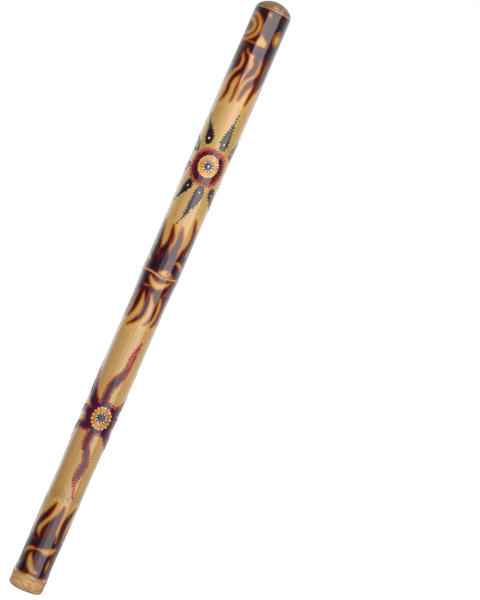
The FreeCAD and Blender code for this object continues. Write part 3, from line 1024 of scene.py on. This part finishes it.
drop_shifts = shape_shifts(DROPS, HALVES, DROP_SEED)
arm_shifts = shape_shifts(ARMS, HALVES, ARM_SEED)
dots = {piece[0]: [] for piece in DOT_PIECES}
for turn in HALVES:
    for name, *circle in CIRCLES:
        dots[name] += circle_of_dots(turn, *circle)
    for drop, (nudge, lift) in zip(DROPS, drop_shifts[turn]):
        height, angle = drop[1][:2]
        dots["dots_gold"].append((height + lift, angle + turn + nudge, DROP_EYE, 0.0))
    dots["dots_red_lower"] += [dot for dot in circle_of_dots(turn, *BROKEN_RING)
                               if sample(FIELDS["arms"], *dot[:2]) > CLEAR_OF_ARMS]
    dots["dots_red_lower"] += outline_dots(ARMS, turn, arm_shifts[turn], FIELDS["arms"], *ARM_OUTLINE)
    dots["dots_green"] += outline_dots(DROPS, turn, drop_shifts[turn], FIELDS["drops"], *DROP_OUTLINE)
for name, material, slot, seed, stretch in DOT_PIECES:
    make_dots(name, dots[name], material, seed, stretch)

cap, pin, stone = cap_material(), pin_material(), stone_material()
for name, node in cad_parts.items():
    if name == "top_cap":
        finish = cap
    elif name.startswith("pin_turn"):
        finish = pin
    elif "pebble" in name:
        finish = stone
    else:
        continue
    node.data.materials.clear()
    node.data.materials.append(finish)


# ---- floor, light and camera

WHITE = (1.0, 1.0, 1.0, 1.0)
FLOOR_REACH = 20000
FLOOR_GLOW = 0.9
FLOOR_BOUNCE = 0.55
KEY_ANGLE = 31.5  # the key panels stand to the front's right, and make the bright strip down the varnish
WING_ANGLE = -7.0
# Panels beside the stick: name, angle, distance, height, height aimed at, width, tall, radiance. In metres.
PANELS = [
    ("key_high", KEY_ANGLE, 0.85, 0.84, 0.84, 0.80, 0.82, 2.08),
    ("key_middle", KEY_ANGLE, 0.85, 0.22, 0.22, 0.80, 0.42, 1.9),
    ("key_low", KEY_ANGLE, 0.85, -0.20, -0.20, 0.80, 0.42, 1.5),
    ("wing_high", WING_ANGLE, 0.85, 1.10, 1.10, 0.40, 0.30, 2.4),
    ("wing_low", WING_ANGLE, 0.85, 0.27, 0.27, 0.40, 1.36, 0.65),
    ("side_left", -128, 1.2, 0.45, 0.4, 0.9, 1.2, 0.8),
    ("side_right", 138, 1.2, 0.6, 0.5, 0.9, 1.5, 0.35),
]
FILLS = [
    ("front", -20, 2.2, 0.55, 0.4, 1.8, 1.8, 2.1),
    ("back", 180, 2.2, 0.55, 0.5, 1.8, 1.8, 3.6),
]
ABOVE = ((0.21, -0.31, 1.36), (0, 0, 0.99), 0.55, 0.70, 1.3)


def floor_material():
    """White paper: bright where it is seen, duller in what it throws back at the stick."""
    s = Material("studio_floor")
    tone = s.noise((3, 3, 3), detail=2.0)
    paper = s.ramp(tone, [(0.3, (243, 243, 241)), (0.7, (247, 247, 246))])
    seen = s.add("ShaderNodeBsdfPrincipled", {
        "Base Color": paper, "Roughness": 0.9, "Normal": s.bump(tone, 0.0005, 0.1), "Specular IOR Level": 0.0,
        "Emission Color": WHITE, "Emission Strength": FLOOR_GLOW})
    dull = s.add("ShaderNodeBsdfDiffuse", {"Color": (FLOOR_BOUNCE, FLOOR_BOUNCE, FLOOR_BOUNCE, 1.0)})
    return s.finish(s.by_camera_ray(dull.outputs[0], seen.outputs[0]))


floor = mesh_object("floor", [(-FLOOR_REACH, -FLOOR_REACH, 0), (FLOOR_REACH, -FLOOR_REACH, 0),
                              (FLOOR_REACH, FLOOR_REACH, 0), (-FLOOR_REACH, FLOOR_REACH, 0)],
                    [[0, 1, 2, 3]], [floor_material()])
floor.visible_glossy = False


def panel(name, place, target, width, height, radiance):
    """A soft box that lights the stick and shows in its varnish, but not to the camera."""
    light = bpy.data.lights.new(name, "AREA")
    light.shape = "RECTANGLE"
    light.size, light.size_y = width, height
    light.energy = radiance * width * height * math.pi
    lamp = bpy.data.objects.new(name, light)
    bpy.context.scene.collection.objects.link(lamp)
    lamp.location = place
    lamp.rotation_euler = (Vector(target) - Vector(place)).to_track_quat("-Z", "Y").to_euler()
    lamp.visible_camera = False
    return lamp


def panel_beside_stick(name, angle, distance, height, aim, width, tall, radiance):
    turn = math.radians(angle)
    place = (distance * math.sin(turn), -distance * math.cos(turn), height)
    return panel(name, place, (0, 0, aim), width, tall, radiance)


for row in PANELS:
    panel_beside_stick(*row)
panel("above", *ABOVE)
for row in FILLS:
    panel_beside_stick(*row).visible_glossy = False

# The studio's walls: white to the camera, and as the stick's light brighter behind it than in front or above.
world = bpy.data.worlds.new("studio")
world.use_nodes = True
walls = Nodes(world.node_tree)
direction = walls.add("ShaderNodeTexCoord").outputs["Generated"]
part = walls.add("ShaderNodeSeparateXYZ", {0: direction}).outputs
behind = walls.spread(part["Y"], -0.25, 0.45, 0.06, 0.80)
under_lid = walls.spread(part["Z"], 0.22, 0.50, 1.0, 0.35)
strength = walls.math("MULTIPLY", behind, under_lid)
ambient = walls.add("ShaderNodeBackground", {"Color": WHITE, "Strength": strength})
seen = walls.add("ShaderNodeBackground", {"Color": WHITE, "Strength": 1.0})
shown = walls.by_camera_ray(ambient.outputs[0], seen.outputs[0])
walls.add("ShaderNodeOutputWorld", {"Surface": shown})
bpy.context.scene.world = world

CAMERA_PLACE = (0.1305, -2.7, 0.549)
CAMERA_ROLL = -23.37
CAMERA_LENS = 103.3

camera = bpy.data.objects.new("camera", bpy.data.cameras.new("camera"))
bpy.context.scene.collection.objects.link(camera)
camera.data.lens = CAMERA_LENS
camera.data.sensor_width = 36.0
camera.data.sensor_fit = "AUTO"
camera.data.dof.use_dof = False
camera.location = CAMERA_PLACE
camera.rotation_euler = (math.radians(90), math.radians(CAMERA_ROLL), 0)
bpy.context.scene.camera = camera
bpy.context.scene.view_settings.view_transform = "Standard"
